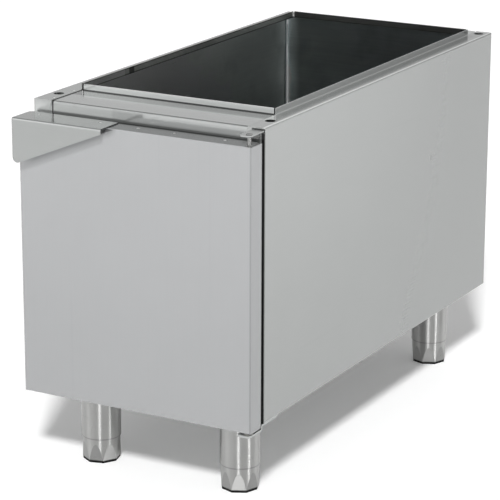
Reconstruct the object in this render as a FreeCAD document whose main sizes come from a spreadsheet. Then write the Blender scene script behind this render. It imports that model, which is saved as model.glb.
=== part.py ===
import FreeCAD, Part
import os
import Sketcher
from FreeCAD import Rotation, Vector

os.makedirs("parts", exist_ok=True)
doc = FreeCAD.newDocument("open_top_base_cabinet")

# An open-topped stainless base cabinet with one hinged door on adjustable legs.
# Frame: millimetres, +Z up from the floor, the door faces -Y, X runs along the width.
# The origin is on the floor, under the middle of the whole outline.

# ---------------------------------------------------------------- driving dimensions
drivingSizes = [
    ("width", 400, "over the side panels"),
    ("depth", 815, "front flanges to rear flanges"),
    ("body_height", 453, "bottom edge to deck"),
    ("leg_height", 135, "floor to bottom edge"),
    ("gauge", 1.2, "carcass sheet"),
    ("bend", 2, "outer bend radius of the carcass sheet"),
    ("left_flange", 33.4, "deck and front flange of the left panel"),
    ("right_flange", 28.6, "deck and front flange of the right panel"),
    ("rear_flange", 15, "rear return of the side panels"),
    ("bottom_flange", 25, "bottom return of the side panels"),
    ("front_deck", 82.3, "front edge to the collar"),
    ("rear_deck", 39.8, "rear edge to the collar"),
    ("collar_height", 10, "upstand round the top opening"),
    ("collar_joint", 0.8, "gap between two upstands at a corner"),
    ("collar_notch", 1.4, "a rail's upstand cut back at the closed seam"),
    ("left_seam", 2.2, "open seam between left flange and rails"),
    ("right_seam", 0.3, "closed seam between right flange and rails"),
    ("rail_lap", 4, "how far a rail's end tab reaches under a deck flange"),
    ("rail_drop", 40, "height of the front rail's face"),
    ("rail_lip", 14, "return under the front rail's face"),
    ("rear_rail_drop", 30, "height of the rear rail's face"),
    ("relief_width", 3, "bend relief at the rails' outer corners"),
    ("relief_depth", 6, "bend relief at the rails' outer corners"),
    ("deck_hole_radius", 8, "fixing holes in the deck"),
    ("deck_hole_side", 16, "fixing hole to the side of the cabinet"),
    ("deck_hole_front", 45, "fixing hole to the front edge"),
    ("deck_hole_rear", 20, "fixing hole to the rear edge"),
    ("shelf_rise", 25, "bottom edge to the shelf's top"),
    ("shelf_lift", 1.5, "shelf flanges above the side panels' bottom flanges"),
    ("shelf_relief", 2.5, "square relief at each corner of the shelf"),
    ("back_return", 10, "folded edges of the back panel"),
    ("back_play", 1.8, "back panel below the deck's underside"),
    ("leg_rail_gauge", 2, "sheet of the leg rails"),
    ("leg_rail_width", 100, "leg rail along the depth"),
    ("leg_rail_play", 0.3, "leg rail's end to a bottom flange"),
    ("leg_side", 74, "leg axis to the side of the cabinet"),
    ("leg_front", 60, "front leg axis to the front edge"),
    ("leg_rear", 66, "rear leg axis to the rear edge"),
    ("leg_radius", 31.5, "leg tube"),
    ("leg_wall", 1.2, "leg tube"),
    ("leg_plate_radius", 45, "leg's top plate"),
    ("leg_plate_gauge", 3, "leg's top plate"),
    ("bolt_circle", 38, "radius of the bolts round a leg"),
    ("bolt_radius", 3, "leg bolts"),
    ("bolt_play", 0.3, "leg bolt in its holes"),
    ("hex_flats", 10, "bolt head and nut across the flats"),
    ("head_height", 4, "bolt head"),
    ("nut_height", 5, "weld nut on a leg bolt"),
    ("bolt_end", 1, "bolt past its nut"),
    ("foot_exposed", 40, "floor to the leg tube's lower end"),
    ("foot_overlap", 20, "foot inside the leg tube"),
    ("foot_play", 0.3, "foot in the leg tube, radial"),
    ("foot_wall", 2, "foot shell"),
    ("foot_floor", 4, "foot's base"),
    ("flat_count", 8, "wrench flats round the foot"),
    ("flat_rise", 31, "floor to the top of the flats' arches"),
    ("flat_depth", 2.3, "how deep a flat cuts at the foot's base"),
    ("pad_height", 3.4, "foot pad"),
    ("pad_inset", 0.4, "foot pad inside the foot's outline"),
    ("stem_radius", 8, "threaded stem of the foot"),
    ("stem_play", 0.3, "stem in its nut, radial"),
    ("stem_top", 112, "floor to the top of the stem"),
    ("stem_nut_base", 78, "floor to the underside of the stem's nut"),
    ("stem_nut_height", 8, "stem's nut"),
    ("stem_nut_play", 0.05, "stem's nut in the leg tube, radial"),
    ("door_gap", 8.5, "carcass to the back of the door"),
    ("door_thickness", 33.3, "door"),
    ("door_drop", 3.4, "door below the carcass's bottom edge"),
    ("door_top_gap", 19.7, "door's top below the deck"),
    ("door_gauge", 1, "outer skin of the door"),
    ("door_bend", 1.8, "outer bend radius of the door's skins"),
    ("inner_gauge", 0.8, "inner skin of the door"),
    ("inner_recess", 0.5, "inner skin inside the outer skin's rim"),
    ("inner_flange", 18, "folded edges of the inner skin"),
    ("handle_gauge", 1.5, "handle sheet"),
    ("handle_reach", 18, "handle's front in front of the door"),
    ("handle_length", 157, "handle along the door"),
    ("handle_short", 8, "handle's front at its inner end"),
    ("handle_tall", 73, "handle's front at the door's free edge"),
    ("handle_setback", 0.4, "handle's rear edge to the back of the door"),
    ("handle_corner", 8, "round of the handle's lowest corner"),
    ("handle_rear_corner", 8, "round of the handle's rear corner"),
    ("pin_side", 7.8, "hinge axis to the side of the cabinet"),
    ("pin_front", 8.8, "hinge axis to the front of the door"),
    ("pin_radius", 3, "hinge pins"),
    ("pin_play", 0.08, "hinge pin in its bush, radial"),
    ("pin_seat", 0.05, "hinge pin in its bracket, radial"),
    ("pin_head_radius", 4.5, "hinge pin's head"),
    ("pin_head_height", 1.5, "hinge pin's head"),
    ("pin_reach", 9, "hinge pin inside the door"),
    ("tongue_inside", 13, "upper tongue's inner edge to the hinge axis"),
    ("lower_tongue_inside", 16, "lower tongue's inner edge to the hinge axis"),
    ("tongue_outside", 6.3, "tongues' outer edge to the hinge axis"),
    ("tongue_front", 8.5, "tongues' front edge to the hinge axis"),
    ("tongue_corner", 6, "rounded corners of the tongues"),
    ("tongue_gauge", 3, "hinge bracket plate"),
    ("bracket_bend", 4.2, "outer bend radius of the hinge brackets"),
    ("tongue_drop", 3.6, "top of the upper tongue below the deck"),
    ("slot_play", 0.3, "tongue in its slot"),
    ("leaf_height", 32, "upper bracket's leaf behind the front flange"),
    ("leaf_chamfer", 1.4, "leaf's edge beside the panel's bend"),
    ("plate_reach", 45, "lower bracket under the bottom flange"),
    ("tongue_gap", 3.6, "lower tongue below the door"),
    ("step_front", 5, "front of the lower bracket's step before the front edge"),
    ("rivet_radius", 2.4, "hinge rivets"),
    ("rivet_head_radius", 4.2, "hinge rivets"),
    ("rivet_head_height", 1.2, "hinge rivets"),
    ("rivet_high", 13, "upper rivet below the deck"),
    ("rivet_pitch", 13, "distance between two rivets of the upper bracket"),
    ("rivet_side", 12, "upper rivets to the side of the cabinet"),
    ("lower_rivet_front", 14, "first lower rivet to the front edge"),
    ("lower_rivet_pitch", 20, "distance between the lower rivets"),
    ("bush_radius", 4.5, "hinge bush"),
    ("bush_collar", 7, "lower bush's collar radius"),
    ("bush_collar_height", 2, "upper bush's collar inside the door"),
    ("bush_collar_inside", 5.2, "upper bush's collar radius"),
    ("washer_play", 0.3, "lower bush's collar above the tongue"),
    ("bush_seat", 0.05, "bush in the door, radial"),
    ("bush_plate_length", 34, "bush plate inside the door"),
    ("bush_plate_play", 0.3, "bush plate to the inner skin"),
    ("bush_plate_gauge", 3, "bush plate inside the door"),
    ("bush_plate_edge", 1, "bush plate to the front skin"),
    ("catch_height", 330, "bottom edge to the middle of the magnetic catch"),
    ("catch_length", 46, "magnet case"),
    ("catch_width", 14, "magnet case"),
    ("catch_play", 0.4, "magnet case to the strike plate"),
    ("magnet_length", 26, "magnet"),
    ("magnet_width", 8, "magnet"),
    ("magnet_depth", 5, "magnet in its case"),
    ("catch_screw_radius", 1.5, "magnet case screws"),
    ("catch_screw_head", 3, "magnet case screws"),
    ("catch_screw_edge", 5, "screw to the end of the magnet case"),
    ("catch_screw_length", 10, "magnet case screws"),
    ("catch_screw_play", 0.05, "screw in its hole, radial"),
    ("strike_length", 50, "strike plate on the door"),
    ("strike_width", 18, "strike plate on the door"),
    ("strike_gauge", 1.2, "strike plate on the door"),
]

sheet = doc.addObject("Spreadsheet::Sheet", "Sizes")


# A size carries its number and the spreadsheet expression that gives it.
class Size:
    def __init__(self, value, text):
        self.value = float(value)
        self.text = text

    def __add__(self, other):
        other = asSize(other)
        return Size(self.value + other.value, f"({self.text} + {other.text})")

    def __sub__(self, other):
        other = asSize(other)
        return Size(self.value - other.value, f"({self.text} - {other.text})")

    def __mul__(self, other):
        other = asSize(other)
        return Size(self.value * other.value, f"({self.text} * {other.text})")

    def __truediv__(self, other):
        other = asSize(other)
        return Size(self.value / other.value, f"({self.text} / {other.text})")

    def __neg__(self):
        return Size(-self.value, f"(0 - {self.text})")

    def __radd__(self, other):
        return asSize(other) + self

    def __rsub__(self, other):
        return asSize(other) - self

    def __rmul__(self, other):
        return asSize(other) * self


def asSize(number):
    return number if isinstance(number, Size) else Size(number, f"({number})")


sizes = {}
for row, (name, value, note) in enumerate(drivingSizes, start=1):
    sheet.set(f"A{row}", name)
    sheet.set(f"B{row}", str(value))
    sheet.set(f"C{row}", note)
    sheet.setAlias(f"B{row}", name)
    sizes[name] = Size(value, f"Sizes.{name}")
doc.recompute()

# ---------------------------------------------------------------- modelling helpers
planeRoles = {"X": "YZ_Plane", "Y": "XZ_Plane", "Z": "XY_Plane"}
# The sketch axes u and v of each plane, as indices of the frame's axes.
planeAxes = {"X": (1, 2), "Y": (0, 2), "Z": (0, 1)}
tolerance = 1e-4
nodes = []


def bind(item, path, size):
    item.setExpression(path, asSize(size).text)


def bindPlace(item, x, y, z):
    for axis, size in zip("xyz", (x, y, z)):
        bind(item, f"Placement.Base.{axis}", size)


def newBody(label):
    body = doc.addObject("PartDesign::Body", label)
    body.Label = label
    nodes.append(body)
    return body


def originFeature(body, role):
    return next(item for item in body.Origin.OriginFeatures if item.Role == role)


# A sketch square to one axis, at a place along that axis.
def newSketch(body, axis, place):
    sketch = body.newObject("Sketcher::SketchObject", f"{body.Name}_sketch")
    sketch.AttachmentSupport = [(originFeature(body, planeRoles[axis]), "")]
    sketch.MapMode = "FlatFace"
    place = asSize(place)
    bind(sketch, "AttachmentOffset.Base.z", -place if axis == "Y" else place)
    return sketch


def holdDistance(sketch, kind, geometry, point, size):
    size = asSize(size)
    index = sketch.addConstraint(Sketcher.Constraint(kind, -1, 1, geometry, point, size.value))
    bind(sketch, f"Constraints[{index}]", size)


def addOutline(sketch, corners):
    corners = [(asSize(u), asSize(v)) for u, v in corners]
    count = len(corners)
    points = [Vector(u.value, v.value, 0) for u, v in corners]
    for index in range(count):
        sketch.addGeometry(Part.LineSegment(points[index], points[(index + 1) % count]), False)
    for index in range(count):
        sketch.addConstraint(Sketcher.Constraint("Coincident", index, 2, (index + 1) % count, 1))
    for index, (u, v) in enumerate(corners):
        holdDistance(sketch, "DistanceX", index, 1, u)
        holdDistance(sketch, "DistanceY", index, 1, v)


def addCircle(sketch, u, v, radius):
    u, v, radius = asSize(u), asSize(v), asSize(radius)
    circle = Part.Circle(Vector(u.value, v.value, 0), Vector(0, 0, 1), radius.value)
    geometry = sketch.addGeometry(circle, False)
    holdDistance(sketch, "DistanceX", geometry, 3, u)
    holdDistance(sketch, "DistanceY", geometry, 3, v)
    index = sketch.addConstraint(Sketcher.Constraint("Radius", geometry, radius.value))
    bind(sketch, f"Constraints[{index}]", radius)


# Extrudes a sketch towards the positive end of its axis.
def addPad(body, axis, sketch, length):
    pad = body.newObject("PartDesign::Pad", f"{body.Name}_pad")
    pad.Profile = sketch
    pad.Reversed = axis == "Y"
    bind(pad, "Length", length)
    doc.recompute()
    return pad


def addThroughPocket(body, sketch):
    pocket = body.newObject("PartDesign::Pocket", f"{body.Name}_pocket")
    pocket.Profile = sketch
    pocket.Type = "ThroughAll"
    pocket.SideType = "Symmetric"
    doc.recompute()
    return pocket


def addRevolution(body, corners):
    sketch = newSketch(body, "Y", 0)
    addOutline(sketch, corners)
    turned = body.newObject("PartDesign::Revolution", f"{body.Name}_turned")
    turned.Profile = sketch
    turned.ReferenceAxis = (sketch, ["V_Axis"])
    turned.Angle = 360
    doc.recompute()
    return turned


# A box of a body: added or cut, between two corners.
def boxFeature(body, kind, low, high):
    box = body.newObject(f"PartDesign::{kind}Box", f"{body.Name}_box")
    for name, start, end in zip(("Length", "Width", "Height"), low, high):
        bind(box, name, asSize(end) - start)
    bindPlace(box, *low)
    doc.recompute()
    return box


def addBox(body, low, high):
    return boxFeature(body, "Additive", low, high)


def cutBox(body, low, high):
    return boxFeature(body, "Subtractive", low, high)


# A round hole along Y or Z, cut over a length on both sides of its centre.
def cutHole(body, axis, centre, radius, reach):
    hole = body.newObject("PartDesign::SubtractiveCylinder", f"{body.Name}_hole")
    bind(hole, "Radius", radius)
    bind(hole, "Height", 2 * asSize(reach))
    x, y, z = [asSize(size) for size in centre]
    if axis == "Y":
        hole.Placement = FreeCAD.Placement(Vector(), Rotation(Vector(1, 0, 0), 90))
        bindPlace(hole, x, y + reach, z)
    else:
        bindPlace(hole, x, y, z - reach)
    doc.recompute()
    return hole


def roundEdges(body, edges, radius, kind="Fillet"):
    solid = body.Tip
    feature = body.newObject(f"PartDesign::{kind}", f"{body.Name}_edges")
    feature.Base = (solid, edges)
    bind(feature, "Radius" if kind == "Fillet" else "Size", radius)
    doc.recompute()
    return feature


# Edges that run along an axis through the given places of its plane.
def edgesAlong(body, axis, places):
    u, v = planeAxes[axis]
    wanted = [(asSize(a).value, asSize(b).value) for a, b in places]
    found = []
    for number, edge in enumerate(body.Tip.Shape.Edges, start=1):
        ends = [vertex.Point for vertex in edge.Vertexes]
        for a, b in wanted:
            if len(ends) == 2 and all(abs(p[u] - a) + abs(p[v] - b) < tolerance for p in ends):
                found.append(f"Edge{number}")
    return found


# All edges that lie in the plane square to an axis.
def edgesAt(body, axis, place):
    index = "XYZ".index(axis)
    value = asSize(place).value
    return [
        f"Edge{number}"
        for number, edge in enumerate(body.Tip.Shape.Edges, start=1)
        if all(abs(vertex.Point[index] - value) < tolerance for vertex in edge.Vertexes)
    ]


# Folded sheet: a path of square bends in the plane of an axis, with the sheet to the
# right of the path, run from start to end along the axis, its bends rounded.
def addFoldedSheet(body, axis, path, gauge, bend, start, end):
    path = [(asSize(u), asSize(v)) for u, v in path]
    steps = []
    for (u0, v0), (u1, v1) in zip(path, path[1:]):
        along = abs(u1.value - u0.value) > abs(v1.value - v0.value)
        forward = (u1.value - u0.value) + (v1.value - v0.value) > 0
        steps.append(((1 if forward else -1), 0) if along else (0, (1 if forward else -1)))
    normals = [(dv, -du) for du, dv in steps]
    inner = []
    for index, (u, v) in enumerate(path):
        touching = normals[max(index - 1, 0):index + 1]
        inner.append((u + gauge * sum(n[0] for n in touching), v + gauge * sum(n[1] for n in touching)))
    sketch = newSketch(body, axis, start)
    addOutline(sketch, path + inner[::-1])
    addPad(body, axis, sketch, asSize(end) - start)
    wide, tight = [], []
    for index in range(1, len(path) - 1):
        before, after = steps[index - 1], steps[index]
        rightTurn = before[0] * after[1] - before[1] * after[0] < 0
        wide.append(path[index] if rightTurn else inner[index])
        tight.append(inner[index] if rightTurn else path[index])
    roundEdges(body, edgesAlong(body, axis, wide), bend)
    roundEdges(body, edgesAlong(body, axis, tight), bend - gauge)


# Pressed pan: a block hollowed out from its open side along an axis. The closed side is
# +1 for the high end and -1 for the low end; its rim is bent round outside and inside.
def addPan(body, low, high, gauge, bend, axis, closedSide):
    along = "XYZ".index(axis)
    insideLow = [asSize(place) + gauge for place in low]
    insideHigh = [asSize(place) - gauge for place in high]
    if closedSide > 0:
        insideLow[along] = low[along]
        closed, insideClosed = high[along], insideHigh[along]
    else:
        insideHigh[along] = high[along]
        closed, insideClosed = low[along], insideLow[along]
    addBox(body, low, high)
    roundEdges(body, edgesAt(body, axis, closed), bend)
    cutBox(body, insideLow, insideHigh)
    roundEdges(body, edgesAt(body, axis, insideClosed), bend - gauge)


def addCylinder(label, radius, height, x, y, z, axis="Z"):
    cylinder = doc.addObject("Part::Cylinder", label)
    bind(cylinder, "Radius", radius)
    bind(cylinder, "Height", height)
    if axis == "Y":
        cylinder.Placement = FreeCAD.Placement(Vector(), Rotation(Vector(1, 0, 0), 90))
    bindPlace(cylinder, x, y, z)
    return cylinder


def addHexagon(label, flats, height, x, y, z):
    prism = doc.addObject("Part::Prism", label)
    prism.Polygon = 6
    bind(prism, "Circumradius", flats / asSize(3 ** 0.5))
    bind(prism, "Height", height)
    bindPlace(prism, x, y, z)
    return prism


def addFused(label, pieces):
    fused = doc.addObject("Part::MultiFuse", label)
    fused.Shapes = pieces
    return fused


def addCut(label, base, tool):
    cut = doc.addObject("Part::Cut", label)
    cut.Base = base
    cut.Tool = tool
    return cut


# Identical fasteners share one node, each as its own solid.
def addGroup(label, pieces):
    group = doc.addObject("Part::Compound", label)
    group.Links = pieces
    group.Label = label
    nodes.append(group)
    return group


# ---------------------------------------------------------------- levels and planes
width, depth, gauge, bend = sizes["width"], sizes["depth"], sizes["gauge"], sizes["bend"]
halfWidth = width / 2
doorFrontReach = sizes["door_gap"] + sizes["door_thickness"]
front = (doorFrontReach + sizes["handle_reach"] - depth) / 2
rear = front + depth
base = sizes["leg_height"]
deck = base + sizes["body_height"]
collarTop = deck + sizes["collar_height"]
collarFront = front + sizes["front_deck"]
collarRear = rear - sizes["rear_deck"]
openingLeft = sizes["left_flange"] - halfWidth
openingRight = halfWidth - sizes["right_flange"]
shelfTop = base + sizes["shelf_rise"]
doorBack = front - sizes["door_gap"]
doorFront = front - doorFrontReach
doorBottom = base - sizes["door_drop"]
doorTop = deck - sizes["door_top_gap"]
innerFace = doorBack - sizes["inner_recess"]
pinX = halfWidth - sizes["pin_side"]
pinY = doorFront + sizes["pin_front"]
tongueLeft = pinX - sizes["tongue_inside"]
lowerTongueLeft = pinX - sizes["lower_tongue_inside"]
tongueRight = pinX + sizes["tongue_outside"]
tongueFront = pinY - sizes["tongue_front"]
tongueTop = deck - sizes["tongue_drop"]
tongueGauge, bracketBend = sizes["tongue_gauge"], sizes["bracket_bend"]
lowerTongueTop = doorBottom - sizes["tongue_gap"]
legX = halfWidth - sizes["leg_side"]
legPlaces = {
    "front_left": (-legX, front + sizes["leg_front"]),
    "front_right": (legX, front + sizes["leg_front"]),
    "rear_left": (-legX, rear - sizes["leg_rear"]),
    "rear_right": (legX, rear - sizes["leg_rear"]),
}
# The feet are screwed in by hand, so each one's flats stop at an angle of its own.
footTurns = {"front_left": 14, "front_right": 26, "rear_left": 41, "rear_right": 25}
deckHoleX = halfWidth - sizes["deck_hole_side"]
deckHoleRows = (front + sizes["deck_hole_front"], rear - sizes["deck_hole_rear"])
catchX = openingLeft - sizes["left_flange"] / 2
catchZ = base + sizes["catch_height"]
catchEnds = [
    catchZ + sign * (sizes["catch_length"] / 2 - sizes["catch_screw_edge"]) for sign in (-1, 1)
]


# ---------------------------------------------------------------- carcass
# Side panel: a pan whose rim makes the deck, front, rear and bottom flanges. The deck
# flange turns up again along the top opening as one side of the collar.
def makeSidePanel(label, side, flange):
    outer = side * halfWidth
    inner = outer - side * flange
    low, high = (outer, inner) if side < 0 else (inner, outer)
    panel = newBody(label)
    addPan(panel, (low, front, base), (high, rear, deck), gauge, bend, "X", side)

    def cutReturn(reach, lowY, highY, lowZ, highZ):
        edge = outer - side * reach
        start, end = (edge, inner) if side < 0 else (inner, edge)
        cutBox(panel, (start, lowY, lowZ), (end, highY, highZ))

    cutReturn(sizes["rear_flange"], rear - gauge, rear, base, deck - gauge)
    cutReturn(sizes["bottom_flange"], front + gauge, rear, base, base + gauge)
    upstandFace = inner + side * gauge
    start, end = (upstandFace, inner) if side < 0 else (inner, upstandFace)
    joint = sizes["collar_joint"]
    addBox(panel, (start, collarFront + joint, deck - gauge), (end, collarRear - joint, collarTop))
    roundEdges(panel, edgesAlong(panel, "Y", [(upstandFace, deck)]), bend - gauge)
    for row in deckHoleRows:
        cutHole(panel, "Z", (side * deckHoleX, row, deck), sizes["deck_hole_radius"], 2 * gauge)
    return panel


leftPanel = makeSidePanel("left_side_panel", -1, sizes["left_flange"])
for screwZ in catchEnds:
    screwHole = sizes["catch_screw_radius"] + sizes["catch_screw_play"]
    cutHole(leftPanel, "Y", (catchX, front, screwZ), screwHole, 2 * gauge)

rightPanel = makeSidePanel("right_side_panel", 1, sizes["right_flange"])
# The upper hinge bracket's slot also clears the bend under its tongue.
slotPlay = sizes["slot_play"]
cutBox(
    rightPanel,
    (tongueLeft - slotPlay, front - gauge, tongueTop - bracketBend - slotPlay),
    (tongueRight + slotPlay, front + bend + gauge, tongueTop + slotPlay),
)
rivetX = halfWidth - sizes["rivet_side"]
rivetHeights = [deck - sizes["rivet_high"], deck - sizes["rivet_high"] - sizes["rivet_pitch"]]
lowerRivetRows = [
    front + sizes["lower_rivet_front"],
    front + sizes["lower_rivet_front"] + sizes["lower_rivet_pitch"],
]
lowerRivetX = (lowerTongueLeft + tongueRight) / 2
for rivetZ in rivetHeights:
    cutHole(rightPanel, "Y", (rivetX, front, rivetZ), sizes["rivet_radius"], 2 * gauge)
for rivetY in lowerRivetRows:
    cutHole(rightPanel, "Z", (lowerRivetX, rivetY, base), sizes["rivet_radius"], 2 * gauge)

# Back panel: a shallow pan between the side panels, standing on the shelf.
backPanel = newBody("back_panel")
backFace = rear - gauge
addPan(
    backPanel,
    (gauge - halfWidth, backFace - sizes["back_return"], shelfTop),
    (halfWidth - gauge, backFace, deck - gauge - sizes["back_play"]),
    gauge, bend, "Y", 1,
)

# Bottom shelf: a tray turned upside down inside the side panels, its corners relieved.
shelf = newBody("bottom_shelf")
shelfFoot = base + gauge + sizes["shelf_lift"]
addPan(
    shelf,
    (gauge - halfWidth, front + gauge, shelfFoot),
    (halfWidth - gauge, rear - gauge, shelfTop),
    gauge, bend, "Z", 1,
)
shelfRelief = sizes["shelf_relief"]
for cornerX in (gauge - halfWidth, halfWidth - gauge - shelfRelief):
    for cornerY in (front + gauge, rear - gauge - shelfRelief):
        corner = (cornerX + shelfRelief, cornerY + shelfRelief, shelfTop)
        cutBox(shelf, (cornerX, cornerY, shelfFoot), corner)

# Rails close the deck between the two side panels at the front and the rear.
railLeft = openingLeft + sizes["left_seam"]
railRight = openingRight - sizes["right_seam"]


# Tabs under the deck flanges carry a rail at both ends.
def addTabs(rail, tabFront, tabRear):
    lap = sizes["rail_lap"]
    for start, end in (
        (openingLeft - lap, railLeft + 2 * lap),
        (railRight - 2 * lap, openingRight + lap),
    ):
        addBox(rail, (start, tabFront, deck - 2 * gauge), (end, tabRear, deck - gauge))


frontRail = newBody("front_top_rail")
railFoot = deck - sizes["rail_drop"]
addFoldedSheet(
    frontRail, "X",
    [
        (front + sizes["rail_lip"], railFoot),
        (front, railFoot),
        (front, deck),
        (collarFront, deck),
        (collarFront, collarTop),
    ],
    gauge, bend, railLeft, railRight,
)
addTabs(frontRail, front + 2 * bend, collarFront - 2 * bend)

rearRail = newBody("rear_top_rail")
addFoldedSheet(
    rearRail, "X",
    [
        (collarRear, collarTop),
        (collarRear, deck),
        (rear, deck),
        (rear, deck - sizes["rear_rail_drop"]),
    ],
    gauge, bend, railLeft, railRight,
)
addTabs(rearRail, collarRear + 2 * bend, rear - 2 * bend)

notchLeft = railRight - sizes["collar_notch"]
cutBox(frontRail, (notchLeft, collarFront - bend, deck), (railRight, collarFront + gauge, collarTop))
cutBox(rearRail, (notchLeft, collarRear - gauge, deck), (railRight, collarRear + bend, collarTop))

# Bend reliefs where the rear rail turns down between the side panels.
for start, end in (
    (railLeft, railLeft + sizes["relief_width"]),
    (railRight - sizes["relief_width"], railRight),
):
    cutBox(rearRail, (start, rear - sizes["relief_depth"], deck - bend), (end, rear, deck))

# Leg rails: channels under the shelf that take the legs.
legRailGauge = sizes["leg_rail_gauge"]
legRailEnd = halfWidth - sizes["bottom_flange"] - sizes["leg_rail_play"]
legRailRows = {"front_leg_rail": legPlaces["front_left"][1], "rear_leg_rail": legPlaces["rear_left"][1]}
boltHole = sizes["bolt_radius"] + sizes["bolt_play"]
boltCircle = sizes["bolt_circle"]
# The bolts round one leg, on the diagonals.
boltOffset = boltCircle / asSize(round(2 ** 0.5, 6))
boltOffsets = [(i * boltOffset, j * boltOffset) for i in (-1, 1) for j in (-1, 1)]
for label, row in legRailRows.items():
    legRail = newBody(label)
    half = sizes["leg_rail_width"] / 2
    railHead = shelfTop - gauge
    addFoldedSheet(
        legRail, "X",
        [(row + half, railHead), (row + half, base), (row - half, base), (row - half, railHead)],
        legRailGauge, 2 * legRailGauge, -legRailEnd, legRailEnd,
    )
    for side in (-1, 1):
        for offsetX, offsetY in boltOffsets:
            place = (side * legX + offsetX, row + offsetY, base)
            cutHole(legRail, "Z", place, boltHole, 2 * legRailGauge)


# ---------------------------------------------------------------- legs and feet
# Each leg: a bolted plate with a tube under it and the nut of the foot's stem inside.
tubeFoot = sizes["foot_exposed"]
tubeInner = sizes["leg_radius"] - sizes["leg_wall"]
plateFoot = base - sizes["leg_plate_gauge"]
nutRadius = tubeInner - sizes["stem_nut_play"]


def placeBody(body, place, turn=0):
    body.Placement = FreeCAD.Placement(Vector(), Rotation(Vector(0, 0, 1), turn))
    bindPlace(body, place[0], place[1], 0)


def makeLeg(name, place):
    plate = newBody(f"leg_plate_{name}")
    sketch = newSketch(plate, "Z", plateFoot)
    addCircle(sketch, 0, 0, sizes["leg_plate_radius"])
    for offset in boltOffsets:
        addCircle(sketch, offset[0], offset[1], boltHole)
    addPad(plate, "Z", sketch, sizes["leg_plate_gauge"])
    placeBody(plate, place)

    tube = newBody(f"leg_tube_{name}")
    sketch = newSketch(tube, "Z", tubeFoot)
    addCircle(sketch, 0, 0, sizes["leg_radius"])
    addCircle(sketch, 0, 0, tubeInner)
    addPad(tube, "Z", sketch, plateFoot - tubeFoot)
    placeBody(tube, place)

    nut = newBody(f"stem_nut_{name}")
    sketch = newSketch(nut, "Z", sizes["stem_nut_base"])
    addCircle(sketch, 0, 0, nutRadius)
    addCircle(sketch, 0, 0, sizes["stem_radius"] + sizes["stem_play"])
    addPad(nut, "Z", sketch, sizes["stem_nut_height"])
    placeBody(nut, place)


# Each foot: a turned shell that slides in the leg tube, with eight tapered wrench flats
# that run out in arches, a threaded stem on its base and a pad below with the same flats.
footRadius = tubeInner - sizes["foot_play"]
footBore = footRadius - sizes["foot_wall"]
footTop = tubeFoot + sizes["foot_overlap"]
shellFoot = sizes["pad_height"]
shellFloor = shellFoot + sizes["foot_floor"]
flatFace = footRadius - sizes["flat_depth"]
padInset = sizes["pad_inset"]


# Cuts one flat between two heights, then repeats it round the foot's axis.
def cutFlats(body, lowFace, low, highFace, high):
    clear = footRadius + sizes["foot_wall"]
    sketch = newSketch(body, "Y", 0)
    addOutline(sketch, [(lowFace, low), (highFace, high), (clear, high), (clear, low)])
    flat = addThroughPocket(body, sketch)
    ring = body.newObject("PartDesign::PolarPattern", f"{body.Name}_flats")
    ring.Originals = [flat]
    ring.Axis = (originFeature(body, "Z_Axis"), [""])
    ring.Angle = 360
    bind(ring, "Occurrences", sizes["flat_count"])
    body.Tip = ring
    doc.recompute()


def makeFoot(name, place):
    turn = footTurns[name]
    shell = newBody(f"foot_shell_{name}")
    spigotRadius = sizes["stem_radius"]
    addRevolution(shell, [
        (spigotRadius, shellFoot),
        (footRadius, shellFoot),
        (footRadius, footTop),
        (footBore, footTop),
        (footBore, shellFloor),
        (spigotRadius, shellFloor),
    ])
    cutFlats(shell, flatFace, shellFoot, footRadius, sizes["flat_rise"])
    placeBody(shell, place, turn)

    stem = newBody(f"foot_stem_{name}")
    sketch = newSketch(stem, "Z", shellFoot)
    addCircle(sketch, 0, 0, spigotRadius)
    addPad(stem, "Z", sketch, sizes["stem_top"] - shellFoot)
    placeBody(stem, place)

    pad = newBody(f"foot_pad_{name}")
    sketch = newSketch(pad, "Z", 0)
    addCircle(sketch, 0, 0, footRadius - padInset)
    addPad(pad, "Z", sketch, sizes["pad_height"])
    cutFlats(pad, flatFace - padInset, 0, flatFace - padInset, sizes["pad_height"])
    placeBody(pad, place, turn)


for name, place in legPlaces.items():
    makeLeg(name, place)
    makeFoot(name, place)

# Hexagon bolts and weld nuts hold each leg plate to its rail.
boltHeadFoot = plateFoot - sizes["head_height"]
nutFoot = base + legRailGauge
boltEnd = nutFoot + sizes["nut_height"] + sizes["bolt_end"]
bolts, nuts = [], []
for name, place in legPlaces.items():
    for number, (offsetX, offsetY) in enumerate(boltOffsets, start=1):
        tag = f"{name}_{number}"
        x, y = place[0] + offsetX, place[1] + offsetY
        head = addHexagon(f"head_{tag}", sizes["hex_flats"], sizes["head_height"], x, y, boltHeadFoot)
        shank = addCylinder(f"shank_{tag}", sizes["bolt_radius"], boltEnd - plateFoot, x, y, plateFoot)
        bolts.append(addFused(f"bolt_{tag}", [head, shank]))
        blank = addHexagon(f"blank_{tag}", sizes["hex_flats"], sizes["nut_height"], x, y, nutFoot)
        bore = addCylinder(
            f"bore_{tag}", sizes["bolt_radius"] + sizes["pin_seat"], sizes["nut_height"], x, y, nutFoot
        )
        nuts.append(addCut(f"nut_{tag}", blank, bore))
addGroup("leg_bolts", bolts)
addGroup("leg_weld_nuts", nuts)

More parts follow.
